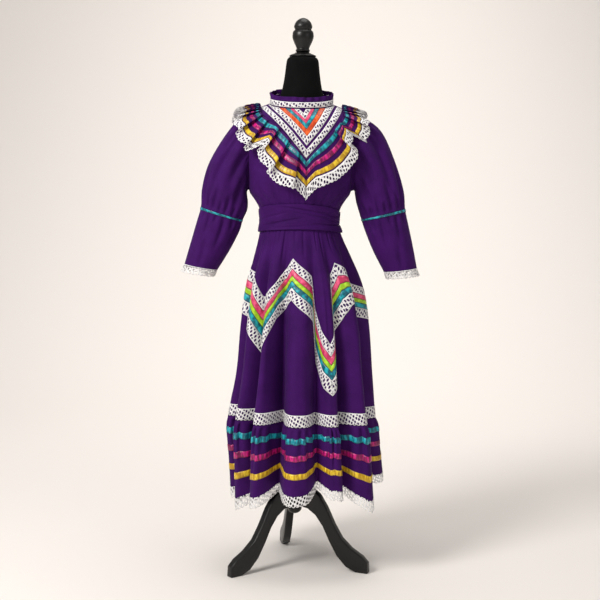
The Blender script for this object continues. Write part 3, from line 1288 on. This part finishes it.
def flounce():
    halves = {
        "flounce_front": (FLOUNCE_LEFT_SEAM, FLOUNCE_RIGHT_SEAM),
        "flounce_back": (FLOUNCE_RIGHT_SEAM, FLOUNCE_LEFT_SEAM + len(FOLDS)),
    }
    for name, (first, last) in halves.items():
        gap = SEAM_GAP / METRES_PER_FOLD
        count = round((last - first) * 44)
        rows = np.linspace(1, 0.002, 40)
        places, shares = np.meshgrid(np.linspace(first + gap, last - gap, count), rows)
        piece = cotton_piece(name, on_flounce(places, shares))
    places = np.linspace(0, len(FOLDS), len(FOLDS) * 44, endpoint=False)
    for name, (upper, lower) in FLOUNCE_RIBBONS.items():
        columns, shares = np.meshgrid(places, np.linspace(lower, upper, 4))
        colour = name.rsplit("_", 1)[1]
        grid = on_flounce(columns, shares, TRIM_LIFT)
        piece = cloth_piece(name, grid, RIBBON, satin(colour, 0.018, 150.0), closed=True)
    columns, shares = np.meshgrid(places, np.linspace(1 + HEM_LACE_SHARE, 0.975, 8))
    material = lace_material("white_lace_hem", 0.038, scallop=0.004, header=0.006)
    grid = on_flounce(columns, shares, TRIM_LIFT)
    piece = cloth_piece("hem_lace", grid, LACE, material, closed=True)


# Dress form and stand

def finish_piece(piece, node, material, slot, sharp=40):
    """Gives a hard piece its name, look and soft shading, and ties it to its node."""
    piece.name = f"{node}_{slot}"
    piece.data.name = piece.name
    piece.data.materials.clear()
    piece.data.materials.append(material)
    bpy.ops.object.select_all(action="DESELECT")
    bpy.context.view_layer.objects.active = piece
    piece.select_set(True)
    bpy.ops.object.transform_apply(location=True, rotation=True, scale=True)
    bpy.ops.object.shade_smooth_by_angle(angle=math.radians(sharp))
    piece.select_set(False)
    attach(piece, "root")
    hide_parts(node)
    return piece


def select_by(piece, test):
    """Selects, in edit mode, the corners that pass a test, and the edges and faces between them."""
    bpy.ops.mesh.select_all(action="DESELECT")
    shape = bmesh.from_edit_mesh(piece.data)
    for corner in shape.verts:
        corner.select = bool(test(corner.co))
    shape.select_flush(True)
    bmesh.update_edit_mesh(piece.data)


def close_ends(piece, low, high):
    """Fills the lowest and the highest ring, turns all faces outwards and leaves edit mode."""
    for height in (low, high):
        select_by(piece, lambda co, height=height: abs(co.z - height) < 1e-6)
        bpy.ops.mesh.edge_face_add()
    bpy.ops.mesh.select_all(action="SELECT")
    bpy.ops.mesh.normals_make_consistent(inside=False)
    bpy.ops.object.mode_set(mode="OBJECT")


def turned_piece(name, profile, middle):
    """A piece turned on a lathe: a ring is drawn up and widened along the profile."""
    radius, height = profile[0]
    bpy.ops.mesh.primitive_circle_add(vertices=LATHE_SEGMENTS, radius=radius, location=(middle, 0, height))
    piece = bpy.context.object
    bpy.ops.object.transform_apply(location=True)
    bpy.ops.object.mode_set(mode="EDIT")
    bpy.ops.mesh.select_all(action="SELECT")
    for next_radius, next_height in profile[1:]:
        bpy.ops.mesh.extrude_region_move(TRANSFORM_OT_translate={"value": (0, 0, next_height - height)})
        widen = next_radius / radius
        bpy.ops.transform.resize(value=(widen, widen, 1), center_override=(middle, 0, next_height))
        radius, height = next_radius, next_height
    close_ends(piece, profile[0][1], profile[-1][1])
    return finish_piece(piece, name, black_wood, "black_wood")


def form_torso():
    """The jersey-covered body: a ring is drawn up through the form's rings."""
    columns = np.linspace(0, 360, 96, endpoint=False)
    first = FORM[0]
    bpy.ops.mesh.primitive_circle_add(vertices=len(columns), radius=first[1], location=(0, 0, first[0]))
    piece = bpy.context.object
    bpy.ops.object.transform_apply(location=True)
    bpy.ops.object.mode_set(mode="EDIT")
    bpy.ops.mesh.select_all(action="SELECT")
    for _ in FORM[1:]:
        bpy.ops.mesh.extrude_region_move(TRANSFORM_OT_translate={"value": (0, 0, DRAWN_STEP)})
    close_ends(piece, first[0], first[0] + DRAWN_STEP * (len(FORM) - 1))
    shape_rings(piece)
    smooth = piece.modifiers.new("smooth", "SUBSURF")
    smooth.levels = smooth.render_levels = 1
    apply_modifiers(piece)
    return finish_piece(piece, "form_torso", black_jersey, "black_jersey", 60)


def shape_rings(piece):
    """Moves each drawn-up ring to the form's own outline at its height."""
    first = FORM[0, 0]
    for corner in piece.data.vertices:
        row = round((corner.co.z - first) / DRAWN_STEP)
        angle = math.degrees(math.atan2(corner.co.x, -corner.co.y))
        middle = NECK_X * smooth_step(np.array((FORM[row, 0] - NECK_START) / 0.03))
        point = ring_point(FORM, np.array([angle]), np.array([FORM[row, 0]]), middle)[0]
        corner.co = point
    piece.data.update()


def leg(name, azimuth):
    """A curved plank with rounded edges, drawn out from its root section by section."""
    upper, lower = LEG_UPPER[0], LEG_LOWER[0]
    middle, tall = (upper[1] + lower[1]) / 2, upper[1] - lower[1]
    bpy.ops.mesh.primitive_plane_add(size=1, location=(upper[0], 0, middle), rotation=(0, math.pi / 2, 0))
    piece = bpy.context.object
    piece.scale = (tall, LEG_THICKNESS, 1)
    bpy.ops.object.transform_apply(location=True, rotation=True, scale=True)
    bpy.ops.object.mode_set(mode="EDIT")
    bpy.ops.mesh.select_all(action="SELECT")
    for next_upper, next_lower in zip(LEG_UPPER[1:], LEG_LOWER[1:]):
        bpy.ops.mesh.extrude_region_move(TRANSFORM_OT_translate={"value": (0, 0, 0)})
        shape = bmesh.from_edit_mesh(piece.data)
        for corner in shape.verts:
            if corner.select:
                goal = next_upper if corner.co.z > (upper[1] + lower[1]) / 2 else next_lower
                corner.co = (goal[0], corner.co.y, goal[1])
        bmesh.update_edit_mesh(piece.data)
        upper, lower = next_upper, next_lower
    bpy.ops.mesh.select_all(action="SELECT")
    bpy.ops.mesh.normals_make_consistent(inside=False)
    bpy.ops.transform.rotate(
        value=-math.radians(azimuth - 90), orient_axis="Z", center_override=(0, 0, 0), orient_type="GLOBAL"
    )
    bpy.ops.object.mode_set(mode="OBJECT")
    rounded = piece.modifiers.new("rounded", "BEVEL")
    rounded.width = 0.0035
    rounded.segments = 3
    rounded.limit_method = "ANGLE"
    rounded.angle_limit = math.radians(50)
    apply_modifiers(piece)
    return finish_piece(piece, name, black_wood, "black_wood", 35)


def form_and_stand():
    form_torso()
    turned_piece("neck_cap", CAP, NECK_X)
    turned_piece("finial", FINIAL, NECK_X)
    turned_piece("pole", POLE, 0)
    turned_piece("hub", HUB, 0)
    for name, azimuth in LEG_AZIMUTHS.items():
        leg(name, azimuth)


# Floor, light and camera

STAGE_COLOUR = (0.85, 0.81, 0.775)
STAGE_SIZE = 14
STAGE_MIDDLE = -1.5  # its place along Y
STAGE_RISE = 7
STAGE_SWEEP = 3.2  # reach of the bend between the floor and the wall
SKY_COLOUR = (1.0, 0.975, 0.955)
SKY_STRENGTH = 0.36
LIGHT_COLOUR = (1.0, 0.98, 0.95)
# Lamps: place, aim, size and power
LAMPS = {
    "key": ((-2.6, -2.6, 3.3), (0, 0, 0.9), 1.5, 158),
    "fill": ((2.8, -2.6, 1.9), (0, 0, 0.8), 2.2, 12),
    "top": ((0.3, 0.2, 4.2), (0, 0, 0.8), 2.4, 50),
    "back": ((0.3, 3.0, 2.6), (0.2, 4.5, 0.4), 3.8, 44),
}
CAMERA_PLACE = Vector((0.0057, -3.8, 1.2))
CAMERA_AIM = Vector((0.0057, 0, 0.810))
CAMERA_ROLL = math.radians(0.98)
PHOTO_WIDTH = 600
PHOTO_FOCUS = 1273.3  # focal length in pixels of the photo
SENSOR = 36.0


def stage():
    """A pale floor that rises behind the dress in one sweep."""
    bpy.ops.mesh.primitive_plane_add(size=STAGE_SIZE, location=(0, STAGE_MIDDLE, 0))
    floor = bpy.context.object
    floor.name = "floor"
    bpy.ops.object.transform_apply(location=True)
    bpy.ops.object.mode_set(mode="EDIT")
    select_by(floor, lambda co: co.y > 5)
    bpy.ops.mesh.extrude_region_move(TRANSFORM_OT_translate={"value": (0, 0, STAGE_RISE)})
    select_by(floor, lambda co: co.y > 5 and co.z < 0.01)
    bpy.ops.mesh.bevel(offset=STAGE_SWEEP, segments=24, affect="EDGES")
    bpy.ops.object.mode_set(mode="OBJECT")
    bpy.ops.object.shade_smooth()
    material, shader = start_material("stage", Roughness=0.95, Specular_IOR_Level=0.1)
    shader.inputs["Base Color"].default_value = (*STAGE_COLOUR, 1)
    floor.data.materials.append(material)


def soft_light(name, place, aim, size, power):
    lamp = bpy.data.lights.new(name, "AREA")
    lamp.shape = "DISK"
    lamp.size = size
    lamp.energy = power
    lamp.color = LIGHT_COLOUR
    light = bpy.data.objects.new(name, lamp)
    light.location = place
    light.rotation_euler = (Vector(aim) - Vector(place)).to_track_quat("-Z", "Y").to_euler()
    bpy.context.scene.collection.objects.link(light)


def studio():
    world = bpy.data.worlds.new("studio")
    world.use_nodes = True
    world.node_tree.nodes["Background"].inputs["Color"].default_value = (*SKY_COLOUR, 1)
    world.node_tree.nodes["Background"].inputs["Strength"].default_value = SKY_STRENGTH
    bpy.context.scene.world = world
    bpy.context.scene.view_settings.view_transform = "Standard"
    for name, (place, aim, size, power) in LAMPS.items():
        soft_light(name, place, aim, size, power)


def camera():
    lens = bpy.data.cameras.new("camera")
    lens.sensor_width = SENSOR
    lens.lens = PHOTO_FOCUS / PHOTO_WIDTH * SENSOR
    view = bpy.data.objects.new("camera", lens)
    forward = (CAMERA_AIM - CAMERA_PLACE).normalized()
    level = Vector((1, 0, 0))
    upright = level.cross(forward)
    right = level * math.cos(CAMERA_ROLL) + upright * math.sin(CAMERA_ROLL)
    up = upright * math.cos(CAMERA_ROLL) - level * math.sin(CAMERA_ROLL)
    turn = Matrix((right, up, -forward)).transposed()
    view.matrix_world = Matrix.Translation(CAMERA_PLACE) @ turn.to_4x4()
    bpy.context.scene.collection.objects.link(view)
    bpy.context.scene.camera = view


camera()
stage()
studio()
form_and_stand()
bodice()
yoke()
ruffle()
sleeves()
collar()
skirt()
zigzag()
lace_band()
flounce()
sash()
